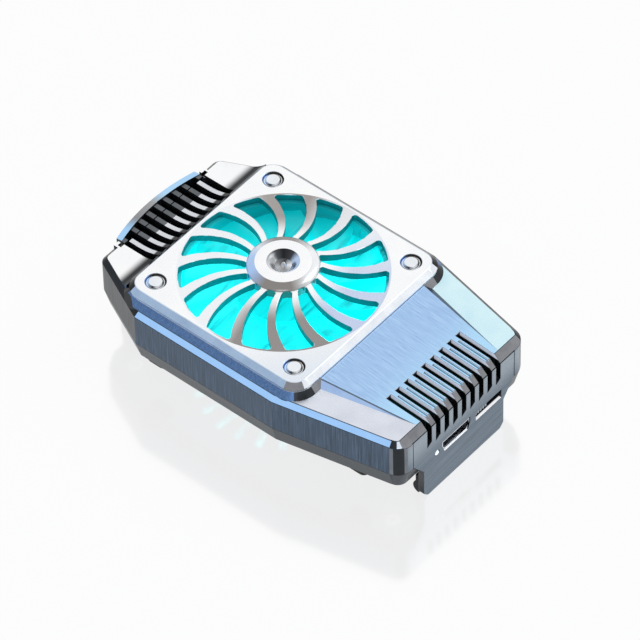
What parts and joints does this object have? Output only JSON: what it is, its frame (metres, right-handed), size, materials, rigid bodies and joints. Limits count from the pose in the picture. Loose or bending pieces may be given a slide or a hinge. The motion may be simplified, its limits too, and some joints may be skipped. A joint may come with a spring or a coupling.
{
  "type": "phone cooling fan",
  "caption": "Clip-on fan for the back of a phone: sickle-vane grille over an axial fan, vented shell, fixed jaw and sprung sliding jaw with rubber grips.",
  "frame": {"origin": "where the fan's axis meets the flat underside that faces the phone", "axes": "+X along the body to the port end and its fixed jaw, +Y to the side where the switch is, +Z along the fan's axis away from the phone"},
  "size_m": [0.0726, 0.0448, 0.024],
  "materials": {
    "shell": "brushed, anodised blue-grey",
    "cover": "brushed, anodised slate",
    "grille": "satin silver",
    "chromed": "polished",
    "white_board": "matt",
    "light": "clear, lit",
    "fan": "satin, lit from the rim",
    "steel": "satin",
    "ferrite": "matt",
    "black_plastic": "matt",
    "bronze": "satin",
    "copper": "enamelled",
    "green_board": "satin",
    "knob": "satin",
    "light_pipe": "clear",
    "black_rubber": "matt"
  },
  "bodies": {
    "housing": {"upper_shell": "shell", "lower_cover": "cover", "end_plate": "cover", "grille_plate": "grille", "grille_pins": "chromed", "light_board": "white_board", "lights": "light", "fan_frame": "fan", "bearing_sleeve": "bronze", "stator_core": "steel", "stator_coils": "copper", "motor_board": "green_board", "circuit_board": "green_board", "board_parts": "black_plastic", "usb_socket": "steel", "switch_body": "black_plastic", "charge_light": "light_pipe", "fixed_jaw_grip": "black_rubber", "contact_pads": "black_rubber", "left_spring": "steel", "right_spring": "steel", "cover_screws": "chromed"},
    "rotor": {"fan_rotor": "fan", "rotor_yoke": "steel", "rotor_magnet": "ferrite", "rotor_shaft": "steel", "shaft_clip": "black_plastic"},
    "jaw": {"sliding_jaw": "shell", "sliding_jaw_grip": "black_rubber"},
    "knob": {"switch_knob": "knob"}
  },
  "joints": [
    {"name": "clamp_slide", "type": "slide", "parent": "housing", "child": "jaw", "axis": [-1, 0, 0], "range_m": [0, 0.021], "stiffness_N_per_m": 120, "springref_m": -0.02, "deforming": ["left_spring", "right_spring"]},
    {"name": "fan_spin", "type": "hinge", "parent": "housing", "child": "rotor", "pos_m": [0, 0, 0.0087], "axis": [0, 0, 1], "continuous": true},
    {"name": "switch_slide", "type": "slide", "parent": "housing", "child": "knob", "axis": [0, 1, 0], "range_m": [0, 0.0033]}
  ]
}
